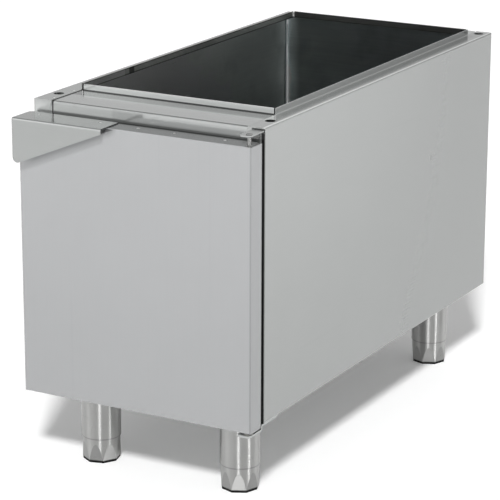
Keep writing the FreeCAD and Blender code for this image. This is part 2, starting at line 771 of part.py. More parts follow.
# ---------------------------------------------------------------- hinges on the carcass
# Upper bracket: a leaf riveted behind the front flange, its tongue out through a slot.
pinSeat = sizes["pin_radius"] + sizes["pin_seat"]
upperBracket = newBody("upper_hinge_bracket")
leafFoot = tongueTop - sizes["leaf_height"]
addFoldedSheet(
    upperBracket, "X",
    [
        (tongueFront, tongueTop),
        (front + gauge + tongueGauge, tongueTop),
        (front + gauge + tongueGauge, leafFoot),
    ],
    tongueGauge, bracketBend, tongueLeft, tongueRight,
)
tongueCorners = [(tongueLeft, tongueFront), (tongueRight, tongueFront)]
roundEdges(upperBracket, edgesAlong(upperBracket, "Z", tongueCorners), sizes["tongue_corner"])
leafEdge = edgesAlong(upperBracket, "Z", [(tongueRight, front + gauge)])
roundEdges(upperBracket, leafEdge, sizes["leaf_chamfer"], "Chamfer")
cutHole(upperBracket, "Z", (pinX, pinY, tongueTop), pinSeat, 2 * tongueGauge)
for rivetZ in rivetHeights:
    place = (rivetX, front + gauge + tongueGauge, rivetZ)
    cutHole(upperBracket, "Y", place, sizes["rivet_radius"], 2 * tongueGauge)

# Lower bracket: a plate riveted under the bottom flange, stepped down below the door.
lowerBracket = newBody("lower_hinge_bracket")
stepFace = front - sizes["step_front"]
addFoldedSheet(
    lowerBracket, "X",
    [
        (tongueFront, lowerTongueTop),
        (stepFace, lowerTongueTop),
        (stepFace, base),
        (front + sizes["plate_reach"], base),
    ],
    tongueGauge, bracketBend, lowerTongueLeft, tongueRight,
)
tongueCorners = [(lowerTongueLeft, tongueFront), (tongueRight, tongueFront)]
roundEdges(lowerBracket, edgesAlong(lowerBracket, "Z", tongueCorners), sizes["tongue_corner"])
cutHole(lowerBracket, "Z", (pinX, pinY, lowerTongueTop), pinSeat, 2 * tongueGauge)
for rivetY in lowerRivetRows:
    cutHole(lowerBracket, "Z", (lowerRivetX, rivetY, base), sizes["rivet_radius"], 2 * tongueGauge)


def makePin(label, headPlace, headSign, shankStart, shankEnd):
    pin = newBody(label)
    headEnd = headPlace + headSign * sizes["pin_head_height"]
    low, high = (headPlace, headEnd) if headSign > 0 else (headEnd, headPlace)
    sketch = newSketch(pin, "Z", low)
    addCircle(sketch, pinX, pinY, sizes["pin_head_radius"])
    addPad(pin, "Z", sketch, high - low)
    sketch = newSketch(pin, "Z", shankStart)
    addCircle(sketch, pinX, pinY, sizes["pin_radius"])
    addPad(pin, "Z", sketch, shankEnd - shankStart)


makePin("upper_hinge_pin", tongueTop, 1, doorTop - sizes["pin_reach"], tongueTop)
lowerTongueFoot = lowerTongueTop - tongueGauge
makePin("lower_hinge_pin", lowerTongueFoot, -1, lowerTongueFoot, doorBottom + sizes["pin_reach"])

# Rivets of both brackets, formed at both ends.
rivetShank, rivetHead = sizes["rivet_radius"], sizes["rivet_head_radius"]
rivetRise = sizes["rivet_head_height"]
rivetGrip = gauge + tongueGauge
rivets = []
for number, rivetZ in enumerate(rivetHeights, start=1):
    ends = [(rivetHead, rivetRise, front), (rivetShank, rivetGrip, front + rivetGrip)]
    ends.append((rivetHead, rivetRise, front + rivetGrip + rivetRise))
    pieces = [
        addCylinder(f"upper_rivet_{number}_{part}", radius, length, rivetX, y, rivetZ, "Y")
        for part, (radius, length, y) in enumerate(ends, start=1)
    ]
    rivets.append(addFused(f"upper_rivet_{number}", pieces))
for number, rivetY in enumerate(lowerRivetRows, start=1):
    under = base - tongueGauge
    ends = [(rivetHead, rivetRise, under - rivetRise), (rivetShank, rivetGrip, under)]
    ends.append((rivetHead, rivetRise, under + rivetGrip))
    pieces = [
        addCylinder(f"lower_rivet_{number}_{part}", radius, length, lowerRivetX, rivetY, z)
        for part, (radius, length, z) in enumerate(ends, start=1)
    ]
    rivets.append(addFused(f"lower_rivet_{number}", pieces))
addGroup("hinge_rivets", rivets)

# ---------------------------------------------------------------- magnetic catch
catchFace = innerFace + sizes["strike_gauge"] + sizes["catch_play"]
catchHalf = sizes["catch_length"] / 2
case = newBody("magnet_case")
addBox(
    case,
    (catchX - sizes["catch_width"] / 2, catchFace, catchZ - catchHalf),
    (catchX + sizes["catch_width"] / 2, front, catchZ + catchHalf),
)
magnetLow = (catchX - sizes["magnet_width"] / 2, catchFace, catchZ - sizes["magnet_length"] / 2)
magnetHigh = (
    catchX + sizes["magnet_width"] / 2,
    catchFace + sizes["magnet_depth"],
    catchZ + sizes["magnet_length"] / 2,
)
cutBox(case, magnetLow, magnetHigh)
for screwZ in catchEnds:
    screwHole = sizes["catch_screw_radius"] + sizes["catch_screw_play"]
    cutHole(case, "Y", (catchX, front, screwZ), screwHole, front - catchFace + gauge)
    headHole = sizes["catch_screw_head"] + sizes["catch_screw_play"]
    cutHole(case, "Y", (catchX, catchFace, screwZ), headHole, sizes["catch_screw_head"] / 2)

magnet = newBody("catch_magnet")
addBox(magnet, magnetLow, magnetHigh)

screws = []
for number, screwZ in enumerate(catchEnds, start=1):
    headBase = catchFace + sizes["catch_screw_head"] / 2
    headLength = sizes["catch_screw_head"] / 2
    shankEnd = headBase + sizes["catch_screw_length"]
    head = addCylinder(
        f"catch_head_{number}", sizes["catch_screw_head"], headLength, catchX, headBase, screwZ, "Y"
    )
    shank = addCylinder(
        f"catch_shank_{number}", sizes["catch_screw_radius"], sizes["catch_screw_length"],
        catchX, shankEnd, screwZ, "Y",
    )
    screws.append(addFused(f"catch_screw_{number}", [head, shank]))
addGroup("catch_screws", screws)

# ---------------------------------------------------------------- door
doorGauge, doorBend = sizes["door_gauge"], sizes["door_bend"]
bushSeat = sizes["bush_radius"] + sizes["bush_seat"]
outerSkin = newBody("door_outer_skin")
addPan(
    outerSkin,
    (-halfWidth, doorFront, doorBottom),
    (halfWidth, doorBack, doorTop),
    doorGauge, doorBend, "Y", -1,
)
for level in (doorBottom, doorTop):
    cutHole(outerSkin, "Z", (pinX, pinY, level), bushSeat, 2 * doorGauge)

innerGauge = sizes["inner_gauge"]
innerSkin = newBody("door_inner_skin")
addPan(
    innerSkin,
    (doorGauge - halfWidth, innerFace - sizes["inner_flange"], doorBottom + doorGauge),
    (halfWidth - doorGauge, innerFace, doorTop - doorGauge),
    innerGauge, doorBend, "Y", 1,
)

# Plates inside the door's hinge corners hold the bushes.
bushPlateFront = doorFront + doorGauge + sizes["bush_plate_edge"]
bushPlateRear = innerFace - sizes["inner_flange"] - sizes["bush_plate_play"]
bushPlateRight = halfWidth - doorGauge - sizes["bush_plate_edge"]
bushPlateLevels = {
    "upper_bush_plate": doorTop - doorGauge - sizes["bush_plate_gauge"],
    "lower_bush_plate": doorBottom + doorGauge,
}
for label, level in bushPlateLevels.items():
    bushPlate = newBody(label)
    addBox(
        bushPlate,
        (bushPlateRight - sizes["bush_plate_length"], bushPlateFront, level),
        (bushPlateRight, bushPlateRear, level + sizes["bush_plate_gauge"]),
    )
    cutHole(bushPlate, "Z", (pinX, pinY, level), bushSeat, 2 * sizes["bush_plate_gauge"])


# Hinge bush: a sleeve with a collar, round the hinge axis.
def makeBush(label, sleeveFoot, sleeveTop, collarFoot, collarHead, collarRadius):
    bush = newBody(label)
    bore = sizes["pin_radius"] + sizes["pin_play"]
    for radius, low, high in (
        (sizes["bush_radius"], sleeveFoot, sleeveTop),
        (collarRadius, collarFoot, collarHead),
    ):
        sketch = newSketch(bush, "Z", low)
        addCircle(sketch, pinX, pinY, radius)
        addCircle(sketch, pinX, pinY, bore)
        addPad(bush, "Z", sketch, high - low)


upperCollarHead = bushPlateLevels["upper_bush_plate"]
upperCollarFoot = upperCollarHead - sizes["bush_collar_height"]
upperCollar = sizes["bush_collar_inside"]
makeBush(
    "upper_hinge_bush", upperCollarFoot, doorTop, upperCollarFoot, upperCollarHead, upperCollar
)
lowerBushTop = doorBottom + doorGauge + sizes["bush_plate_gauge"] + sizes["bush_collar_height"]
lowerCollarFoot = lowerTongueTop + sizes["washer_play"]
makeBush(
    "lower_hinge_bush",
    lowerCollarFoot, lowerBushTop, lowerCollarFoot, doorBottom, sizes["bush_collar"],
)

# Handle: one folded sheet over the door's top corner, its front cut away on a slant.
handle = newBody("door_handle")
handleFront = doorFront - sizes["handle_reach"]
handleTop = doorTop + sizes["handle_gauge"]
handleRear = doorBack - sizes["handle_setback"]
handleEnd = sizes["handle_length"] - halfWidth
handleFoot = handleTop - sizes["handle_tall"]
handleInnerFoot = handleTop - sizes["handle_short"]
addFoldedSheet(
    handle, "X",
    [(handleFront, handleFoot), (handleFront, handleTop), (handleRear, handleTop)],
    sizes["handle_gauge"], 2 * sizes["handle_gauge"], -halfWidth, handleEnd,
)
slant = newSketch(handle, "Y", handleFront)
addOutline(slant, [(handleEnd, handleInnerFoot), (-halfWidth, handleFoot), (handleEnd, handleFoot)])
addThroughPocket(handle, slant)
lowCorner = edgesAlong(handle, "Y", [(-halfWidth, handleFoot)])
roundEdges(handle, lowCorner, sizes["handle_corner"])
rearCorner = edgesAlong(handle, "Z", [(-halfWidth, handleRear)])
roundEdges(handle, rearCorner, sizes["handle_rear_corner"])

# Strike plate: the steel that the magnet holds, on the back of the door.
strike = newBody("strike_plate")
addBox(
    strike,
    (catchX - sizes["strike_width"] / 2, innerFace, catchZ - sizes["strike_length"] / 2),
    (
        catchX + sizes["strike_width"] / 2,
        innerFace + sizes["strike_gauge"],
        catchZ + sizes["strike_length"] / 2,
    ),
)

# ---------------------------------------------------------------- checks and export
doc.recompute()
for item in doc.Objects:
    if "Invalid" in item.State or "Error" in item.State:
        raise RuntimeError(f"{item.Label} failed to build: {item.State}")
for node in nodes:
    if node.Shape.isNull() or not node.Shape.isValid():
        raise RuntimeError(f"{node.Label} has no valid shape")
for node in nodes:
    node.Shape.exportStep(f"parts/{node.Label}.step")
print(len(nodes), "sub-parts written")
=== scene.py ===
import math

import bpy
from mathutils import Matrix, Vector


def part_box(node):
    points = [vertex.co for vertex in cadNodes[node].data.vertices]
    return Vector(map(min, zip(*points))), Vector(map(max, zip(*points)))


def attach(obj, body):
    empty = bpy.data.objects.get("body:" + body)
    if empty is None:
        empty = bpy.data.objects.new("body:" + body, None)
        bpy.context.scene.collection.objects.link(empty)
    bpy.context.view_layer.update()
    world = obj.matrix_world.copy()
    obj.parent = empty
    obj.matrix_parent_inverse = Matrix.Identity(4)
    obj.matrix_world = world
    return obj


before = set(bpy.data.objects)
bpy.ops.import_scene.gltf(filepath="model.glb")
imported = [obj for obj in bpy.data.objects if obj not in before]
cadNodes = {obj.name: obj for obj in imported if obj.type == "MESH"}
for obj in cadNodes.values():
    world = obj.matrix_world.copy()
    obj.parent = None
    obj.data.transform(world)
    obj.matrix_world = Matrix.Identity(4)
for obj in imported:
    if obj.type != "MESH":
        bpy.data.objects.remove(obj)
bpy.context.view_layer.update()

print("frame loaded:", len(cadNodes), "nodes")


# Shader maths as expressions: a wire wraps one socket of a node tree.
class Wire:
    def __init__(self, tree, socket=None):
        self.tree = tree
        self.socket = socket

    # Any node: its type, its settings (set first), the values or links of its sockets.
    def node(self, kind, settings=None, values=None, out=0):
        made = self.tree.nodes.new(kind)
        for name, value in (settings or {}).items():
            if name == "stops":
                ramp = made.color_ramp.elements
                while len(ramp) < len(value):
                    ramp.new(0.5)
                for stop, (place, colour) in zip(ramp, value):
                    stop.position = place
                    stop.color = colour
            else:
                setattr(made, name, value)
        for name, value in (values or {}).items():
            if isinstance(value, Wire):
                self.tree.links.new(value.socket, made.inputs[name])
            else:
                made.inputs[name].default_value = value
        return Wire(self.tree, made.outputs[out] if made.outputs else None)

    def maths(self, operation, *parts):
        return self.node("ShaderNodeMath", {"operation": operation}, dict(enumerate(parts)))

    def __add__(self, other):
        return self.maths("ADD", self, other)

    def __radd__(self, other):
        return self.maths("ADD", other, self)

    def __sub__(self, other):
        return self.maths("SUBTRACT", self, other)

    def __rsub__(self, other):
        return self.maths("SUBTRACT", other, self)

    def __mul__(self, other):
        return self.maths("MULTIPLY", self, other)

    def __rmul__(self, other):
        return self.maths("MULTIPLY", other, self)

    def larger(self, other):
        return self.maths("MAXIMUM", self, other)

    def size(self):
        return self.maths("ABSOLUTE", self)

    # 0 below start, 1 above end, smooth between
    def rise(self, start, end):
        values = {"Value": self, "From Min": start, "From Max": end}
        return self.node("ShaderNodeMapRange", {"interpolation_type": "SMOOTHSTEP"}, values)

    # blends two colours by this value
    def blend(self, first, second):
        settings = {"data_type": "RGBA", "blend_type": "MIX"}
        return self.node("ShaderNodeMix", settings, {0: self, 6: first, 7: second}, 2)

    # a colour times this value
    def dimmed(self, colour):
        return self.node("ShaderNodeVectorMath", {"operation": "SCALE"}, {0: colour, "Scale": self})


def grey(value, warm=0.0):
    return (value * (1 + warm), value, value * (1 - warm), 1)


def tinted(value, tint):
    return tuple(value * part for part in tint)


def newMaterial(name):
    material = bpy.data.materials.new(name)
    material.use_nodes = True
    material.node_tree.nodes.clear()
    return material, Wire(material.node_tree)


def closeMaterial(wire, values):
    shader = wire.node("ShaderNodeBsdfPrincipled", {}, values)
    wire.node("ShaderNodeOutputMaterial", {}, {"Surface": shader})


def placeOf(wire):
    return wire.node("ShaderNodeTexCoord", {}, {}, "Object")


def axesOf(wire, place):
    split = wire.node("ShaderNodeSeparateXYZ", {}, {"Vector": place}).socket.node
    return [Wire(wire.tree, socket) for socket in split.outputs]


def stretched(wire, place, scale):
    return wire.node("ShaderNodeMapping", {}, {"Vector": place, "Scale": scale})


def noise(wire, place, scale, detail=2.0, roughness=0.5):
    values = {"Vector": place, "Scale": scale, "Detail": detail, "Roughness": roughness}
    return wire.node("ShaderNodeTexNoise", {}, values)


def bumpOf(wire, height, strength, distance):
    values = {"Strength": strength, "Distance": distance, "Height": height}
    return wire.node("ShaderNodeBump", {}, values)


# 1 inside a box, 0 outside it, over a short soft edge that is never wider than the box
def insideBox(axes, low, high, soft):
    mask = None
    for axis, start, end in zip(axes, low, high):
        middle, half = (start + end) / 2, (end - start) / 2
        edge = min(soft, half)
        part = 1 - (axis - middle).size().rise(half - edge, half + edge)
        mask = part if mask is None else mask * part
    return mask


# Satin sheet: fine grain lines along one axis, faint clouds where hands have wiped it, a few
# longer scratches, and the cupboard's unpolished inside, darkened with painted shade.
steel = {
    "colour": 0.475,
    "metal": 0.66,
    "roughness": 0.12,
    "grainScale": 900.0,
    "grainStretch": 0.012,
    "grainDepth": 0.00002,
    "grainBump": 0.35,
    "grainTone": 0.05,
    "grainRough": 0.10,
    "scratchStretch": 0.25,
    "scratchLevel": (0.69, 0.78),
    "scratchTone": 0.025,
    "scratchBump": 0.6,
    "cloudScale": 5.0,
    "cloudTone": 0.05,
    "cloudRough": 0.05,
    "wipeScale": 14.0,
    "wipeStretch": 0.5,
    "wipeLevel": (0.4, 0.75),
    "wipeRough": 0.03,
    # the inside's colour, darkened as painted shade
    "insideShadedColour": 0.36,
    "insideRoughness": 0.3,
    "insideTint": (0.99, 1.015, 0.98),
    "insideTone": 0.77,
    "insideClouds": 0.36,
    "insideEdge": 0.0002,
    "streakScale": 260.0,
    "streakStretch": 0.7,
    "stainScale": 11.0,
    "stainLevel": (0.5, 0.72),
    "stainTone": 0.22,
    "insideLow": (-0.1994, -0.3771, 0.1594),
    "insideHigh": (0.1994, 0.4356, 0.5874),
    "mouthLow": (-0.1668, -0.2945, 0.58),
    "mouthHigh": (0.1716, 0.3972, 0.5977),
    # painted highlight on the back panel's welded corner flange, brighter towards the top
    "bendLow": (-0.1995, 0.4300, 0.16),
    "bendHigh": (-0.1973, 0.4350, 0.5855),
    "bendEdge": 0.0004,
    "bendMetal": 0.1,
    "bendHighlightColour": (0.42, 1.0),
    "bendFade": (0.49, 0.54),
}


# Patches of painted light and shade on a sheet: (low corner, high corner, soft edge, factor).
def toned(axes, shade, patches):
    for low, high, soft, factor in patches:
        shade = shade * (1 + (factor - 1) * insideBox(axes, low, high, soft))
    return shade


# Painted shade: the side panels darken a little towards the rear and the floor.
paintedSideShadeLevels = {"least": 0.71, "span": 0.225, "rear": (-0.42, 0.46), "floor": (0.1, 0.62), "floorPart": 0.75}


def paintedSideShade(axes):
    back = axes[1].rise(*paintedSideShadeLevels["rear"])
    down = 1 - axes[2].rise(*paintedSideShadeLevels["floor"])
    return paintedSideShadeLevels["least"] + paintedSideShadeLevels["span"] * ((1 - back) * (1 - paintedSideShadeLevels["floorPart"] * down))


# Painted shade: the door darkens towards the floor, and a painted shadow lies close under the
# handle's slanted edge.
paintedDoorShadeLevels = {
    "least": 0.828,
    "span": 0.11,
    "height": (0.1, 0.6),
    "edgeHeight": 0.5796,
    "edgeSlope": 0.413,
    "edgeWidth": (0.0, 0.012),
    "edgeStart": (-0.2, -0.17),
    "edgeEnd": (-0.042, -0.022),
    "outer": (-0.412, -0.402),
    "handleShadowDepth": 0.36,
}


def paintedDoorShade(axes):
    under = paintedDoorShadeLevels["edgeHeight"] + paintedDoorShadeLevels["edgeSlope"] * axes[0] - axes[2]
    handleShadow = 1 - under.rise(*paintedDoorShadeLevels["edgeWidth"])
    handleShadow = handleShadow * axes[0].rise(*paintedDoorShadeLevels["edgeStart"]) * (1 - axes[0].rise(*paintedDoorShadeLevels["edgeEnd"]))
    outside = 1 - axes[1].rise(*paintedDoorShadeLevels["outer"])
    height = axes[2].rise(*paintedDoorShadeLevels["height"])
    return (paintedDoorShadeLevels["least"] + paintedDoorShadeLevels["span"] * height) * (1 - paintedDoorShadeLevels["handleShadowDepth"] * handleShadow * outside)


plainTint = (0.987, 1.013, 1.0)
blueTint = (0.986, 1.001, 1.013)


def steelSheet(
    name, grain, tone=1.0, roughness=None, paintInsideShade=False, paintedShading=None, patches=(), insidePaintedLight=(),
    tint=plainTint, insideTint=steel["insideTint"], streaky=0.14,
):
    material, wire = newMaterial(name)
    place = placeOf(wire)
    axes = axesOf(wire, place)
    scale = [1.0, 1.0, 1.0]
    scale["XYZ".index(grain)] = steel["grainStretch"]
    lines = noise(wire, stretched(wire, place, scale), steel["grainScale"], 3.0, 0.6)
    longer = [value * steel["scratchStretch"] for value in scale]
    scratches = noise(wire, stretched(wire, place, longer), steel["grainScale"], 1.0)
    scratches = scratches.rise(*steel["scratchLevel"])
    clouds = noise(wire, place, steel["cloudScale"], 4.0, 0.55)
    rounder = [value ** steel["wipeStretch"] for value in scale]
    wiped = noise(wire, stretched(wire, place, rounder), steel["wipeScale"], 3.0)
    wiped = wiped.rise(*steel["wipeLevel"])
    shade = 1 + steel["grainTone"] * (lines - 0.5) + steel["cloudTone"] * (clouds - 0.5)
    shade = shade - steel["scratchTone"] * scratches
    if paintedShading:
        shade = shade * paintedShading(axes)
    shade = toned(axes, shade, patches)
    metal = steel["metal"]
    level = (roughness or steel["roughness"]) + steel["grainRough"] * (lines - 0.5)
    level = level + steel["cloudRough"] * (clouds - 0.5) + steel["wipeRough"] * wiped
    colour = shade.dimmed(tinted(steel["colour"] * tone, tint))
    if paintInsideShade:
        # painted shade darkens the cupboard's inside
        edge = steel["insideEdge"]
        within = insideBox(axes, steel["insideLow"], steel["insideHigh"], edge)
        within = within.larger(insideBox(axes, steel["mouthLow"], steel["mouthHigh"], edge))
        bendHighlight = insideBox(axes, steel["bendLow"], steel["bendHigh"], steel["bendEdge"])
        level = level + within * (steel["insideRoughness"] - steel["roughness"])
        drawn = [value ** steel["streakStretch"] for value in scale]
        streaks = noise(wire, stretched(wire, place, drawn), steel["streakScale"], 3.0, 0.6)
        stains = noise(wire, place, steel["stainScale"], 3.0).rise(*steel["stainLevel"])
        inner = steel["insideTone"] + steel["insideClouds"] * clouds + streaky * streaks
        inner = inner * (1 - steel["stainTone"] * stains)
        inner = toned(axes, inner, insidePaintedLight)
        shadedInside = inner.dimmed(tinted(steel["insideShadedColour"], insideTint))
        colour = within.blend(colour, shadedInside)
        low, high = steel["bendHighlightColour"]
        colour = bendHighlight.blend(colour, axes[2].rise(*steel["bendFade"]).blend(grey(low), grey(high)))
        metal = steel["metal"] + (1 - steel["metal"]) * within
        metal = metal - bendHighlight * (1 - steel["bendMetal"])
    height = lines - steel["scratchBump"] * scratches
    bump = bumpOf(wire, height, steel["grainBump"], steel["grainDepth"])
    closeMaterial(wire, {"Base Color": colour, "Metallic": metal, "Roughness": level, "Normal": bump})
    return material


# Front rail, painted light and shade: a brighter upstand and left of the face, a darker lower face,
# painted dark lines at the upstand's foot, along the bend and in the open seam, and a painted
# reflection darkening the strip of deck in front of the upstand.
railPaintedLight = [
    ((-0.1800, -0.3790, 0.5700), (-0.0600, -0.3762, 0.5850), 0.004, 1.2),
    ((-0.1800, -0.3790, 0.5832), (0.1800, -0.3762, 0.5866), 0.001, 1.08),
    ((-0.1800, -0.3790, 0.5450), (0.1800, -0.3762, 0.5715), 0.003, 0.62),
    ((-0.1800, -0.3790, 0.5450), (0.1800, -0.3762, 0.5680), 0.0012, 0.45),
    ((-0.1800, -0.3785, 0.5867), (0.1800, -0.3752, 0.5886), 0.0005, 0.38),
    ((-0.1800, -0.2962, 0.5895), (0.1800, -0.2944, 0.5985), 0.0004, 1.7),
    ((-0.1800, -0.2975, 0.5868), (0.1800, -0.2944, 0.5895), 0.0004, 0.25),
    ((-0.1800, -0.3258, 0.5870), (0.1800, -0.2955, 0.5890), 0.002, 0.5),
    ((-0.0300, -0.3258, 0.5870), (0.3000, -0.2955, 0.5890), 0.09, 0.45),
    ((-0.1690, -0.3785, 0.5000), (-0.1646, -0.3762, 0.5872), 0.0005, 0.05),
    ((-0.1690, -0.3775, 0.5800), (-0.1628, -0.2900, 0.6000), 0.0005, 0.04),
]
# Side panels, painted light and shade: painted shade on the left one's seam edge and a brighter
# left front flange, painted reflections on the right one's deck and upstand with painted highlights
# on their bends, painted shade on the edge of its front flange behind the door and in a dark line
# above the hinge, and a slightly darker spot on the right panel. The bores are darkened with
# painted shade.
paintedBoreShade = [
    ((x - 0.0084, y - 0.0084, 0.5500), (x + 0.0084, y + 0.0084, 0.58794), 0.0001, 0.1)
    for x in (-0.1840, 0.1840)
    for y in (-0.3326, 0.4174)
]
sidePaintedLight = paintedBoreShade + [
    ((-0.1688, -0.3775, 0.5800), (-0.1660, -0.2900, 0.5890), 0.0005, 0.05),
    ((0.1716, -0.2950, 0.5890), (0.1736, 0.3972, 0.5985), 0.0005, 1.3),
    ((0.1720, -0.2950, 0.5880), (0.1742, 0.3972, 0.5894), 0.0005, 1.5),
    ((0.1742, -0.2950, 0.5870), (0.1870, 0.3972, 0.5890), 0.003, 0.8),
    ((0.1955, -0.3776, 0.5868), (0.1996, 0.4374, 0.5886), 0.0006, 1.9),
    ((0.1940, -0.3786, 0.1300), (0.2005, -0.3766, 0.5850), 0.001, 0.08),
    ((0.1780, -0.3786, 0.5843), (0.1996, -0.3766, 0.5864), 0.0005, 0.12),
    ((-0.2010, -0.3786, 0.5680), (-0.1680, -0.3766, 0.5830), 0.006, 1.28),
    ((0.1990, 0.1965, 0.4148), (0.2010, 0.2033, 0.4216), 0.0034, 0.84),
]
# Painted shade in the cupboard's inside under the deck, where the right-hand fixing holes look in.
paintedCornerShade = [
    ((0.1600, -0.3900, 0.5740), (0.2100, -0.3100, 0.6010), 0.0040, 0.12),
    ((0.1600, 0.3950, 0.5740), (0.2100, 0.4500, 0.6010), 0.0040, 0.12),
]
# painted light and shade on the left wall and the left side of the upstand, with painted shade in
# its open joint and painted dark lines along the upstand's top and foot
insidePaintedLight = paintedCornerShade + [
    ((-0.2000, -0.3780, 0.1400), (-0.1970, 0.4370, 0.5870), 0.004, 3.1),
    ((-0.2000, 0.1800, 0.1400), (-0.1970, 0.7000, 0.5870), 0.24, 0.42),
    ((-0.2000, 0.0500, -0.1000), (-0.1970, 0.6000, 0.5200), 0.06, 1.36),
    ((-0.1690, -0.2950, 0.5870), (-0.1655, 0.3980, 0.5990), 0.001, 1.9),
    ((-0.1690, -0.2950, 0.5870), (-0.1655, -0.1700, 0.5990), 0.001, 2.0),
    ((-0.1690, -0.1570, 0.5870), (-0.1655, -0.1420, 0.5990), 0.001, 0.3),
    ((-0.1690, -0.2950, 0.5960), (-0.1655, 0.3980, 0.5980), 0.0005, 0.35),
    ((-0.1690, -0.2950, 0.5870), (-0.1655, 0.3980, 0.5888), 0.0005, 0.35),
]
# painted light and shade on the back panel: darker overall and near the top, brighter low down and
# beside its welded corner
backPaintedLight = paintedCornerShade + [
    ((-0.2600, 0.4300, 0.1000), (0.2600, 0.4400, 0.6000), 0.004, 0.49),
    ((-0.3000, 0.4300, -0.1000), (0.3000, 0.4400, 0.4900), 0.040, 1.42),
    ((-0.2250, 0.4300, 0.1000), (-0.1860, 0.4400, 0.6000), 0.015, 3.4),
    ((-0.3600, 0.4300, 0.1000), (-0.0400, 0.4400, 0.6000), 0.120, 1.5),
]
backTint = (0.92, 1.015, 1.035)
# painted shade on the rear side of the upstand, which faces the dark inside
rearPaintedShade = paintedCornerShade + [((-0.1700, 0.3940, 0.5860), (0.1750, 0.3985, 0.5990), 0.0005, 0.35)]
# Door, painted shade: darker top, back edge, right side and front bend, dark right edge in the gap.
doorPaintedLight = [
    ((-0.2100, -0.4180, 0.5675), (0.2100, -0.3800, 0.5690), 0.0006, 0.52),
    ((-0.2100, -0.3885, 0.5670), (0.2100, -0.3855, 0.5690), 0.0006, 0.5),
    ((0.1985, -0.4178, 0.1000), (0.2010, -0.3800, 0.6000), 0.0006, 0.92),
    ((0.1982, -0.4200, 0.1000), (0.2010, -0.4178, 0.6000), 0.0004, 0.75),
    ((0.1900, -0.3875, 0.1000), (0.2010, -0.3850, 0.6000), 0.0008, 0.15),
]
# Handle, painted shade: darker top and front, dark lines along its front bend and at its right end.
handlePaintedShade = [
    ((-0.21, -0.4340, 0.5690), (0.0, -0.38, 0.5705), 0.0006, 0.82),
    ((-0.21, -0.4380, 0.48), (0.0, -0.4368, 0.5665), 0.0006, 0.82),
    ((-0.21, -0.4368, 0.5688), (0.0, -0.4340, 0.5705), 0.0004, 0.5),
    ((-0.21, -0.4380, 0.5665), (0.0, -0.4366, 0.5688), 0.0004, 0.98),
    ((-0.0437, -0.4350, 0.5680), (-0.0420, -0.38, 0.5705), 0.0003, 0.3),
]


# Polished tube and turned shells: near mirrors with faint rings round their axis. A shell's
# ground flats, found by their downward lean, carry a painted darker reflection.
polish = {
    "colour": 0.4,
    "tint": (1.004, 1.006, 0.99),
    "roughness": 0.28,
    "ringScale": 1500.0,
    "ringStretch": (0.02, 0.02, 1.0),
    "ringRough": 0.03,
    "ringBump": 0.2,
    "ringDepth": 0.00001,
    "smearScale": 60.0,
    "smearStretch": (1.0, 1.0, 0.3),
    "smearLevel": (0.52, 0.8),
    "smearRough": 0.04,
    "smearTone": 0.08,
    "flatLean": (0.02, 0.06),
    "flatPaintedDarkening": 0.8,
    "anisotropy": 1.0,
    "turn": 0.25,
}
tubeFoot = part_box("leg_tube_front_left")[0][2]
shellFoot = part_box("foot_shell_front_left")[0][2]
# Painted shade: a dark line where tube meets shell, and along the shell's bottom edge.
tubePaintedShade = [((-1.0, -1.0, tubeFoot - 0.001), (1.0, 1.0, tubeFoot + 0.0012), 0.0004, 0.7)]
shellPaintedShade = [
    ((-1.0, -1.0, tubeFoot - 0.0016), (1.0, 1.0, tubeFoot + 0.002), 0.0006, 0.75),
    ((-1.0, -1.0, shellFoot - 0.001), (1.0, 1.0, shellFoot + 0.0011), 0.0004, 0.3),
]
# painted brighter reflection on the middle flat of the front right shell
frontFlatPaintedHighlight = [((0.1280, -0.3530, 0.0), (0.1500, -0.3380, 0.0300), 0.0020, 1.25)]


def polishedSteel(name, tone=1.0, roughness=None, patches=(), flats=None):
    material, wire = newMaterial(name)
    place = placeOf(wire)
    rings = noise(wire, stretched(wire, place, polish["ringStretch"]), polish["ringScale"], 2.0)
    smears = noise(wire, stretched(wire, place, polish["smearStretch"]), polish["smearScale"], 3.0)
    level = (roughness or polish["roughness"]) + polish["ringRough"] * (rings - 0.5)
    level = level + polish["smearRough"] * smears.rise(*polish["smearLevel"])
    axes = axesOf(wire, place)
    shade = toned(axes, 1 - polish["smearTone"] * smears, patches)
    if flats is not None:
        facing = axesOf(wire, wire.node("ShaderNodeNewGeometry", {}, {}, "Normal"))
        flat = (0 - facing[2]).rise(*polish["flatLean"])
        shade = shade * (1 + flat * (toned(axes, polish["flatPaintedDarkening"], flats) - 1))
    colour = shade.dimmed(tinted(polish["colour"] * tone, polish["tint"]))
    bump = bumpOf(wire, rings, polish["ringBump"], polish["ringDepth"])
    values = {"Base Color": colour, "Metallic": 1.0, "Roughness": level, "Normal": bump}
    values["Anisotropic"] = polish["anisotropy"]
    values["Anisotropic Rotation"] = polish["turn"]
    closeMaterial(wire, values)
    return material


# Zinc plate on bolts, nuts and stems: soft, slightly bluish, with a spangle.
zinc = {
    "blue": (0.52, 0.54, 0.57, 1),
    "grey": (0.62, 0.63, 0.62, 1),
    "cloudScale": 90.0,
    "spangleScale": 700.0,
    "roughness": 0.3,
    "spangleRough": 0.18,
    "cloudRough": 0.1,
}


def zincPlate(name):
    material, wire = newMaterial(name)
    place = placeOf(wire)
    values = {"Vector": place, "Scale": zinc["spangleScale"]}
    spangle = wire.node("ShaderNodeTexVoronoi", {"feature": "F1"}, values)
    clouds = noise(wire, place, zinc["cloudScale"], 3.0)
    colour = clouds.blend(zinc["blue"], zinc["grey"])
    level = zinc["roughness"] + zinc["spangleRough"] * (spangle - 0.4) + zinc["cloudRough"] * (clouds - 0.5)
    closeMaterial(wire, {"Base Color": colour, "Metallic": 1.0, "Roughness": level})
    return material


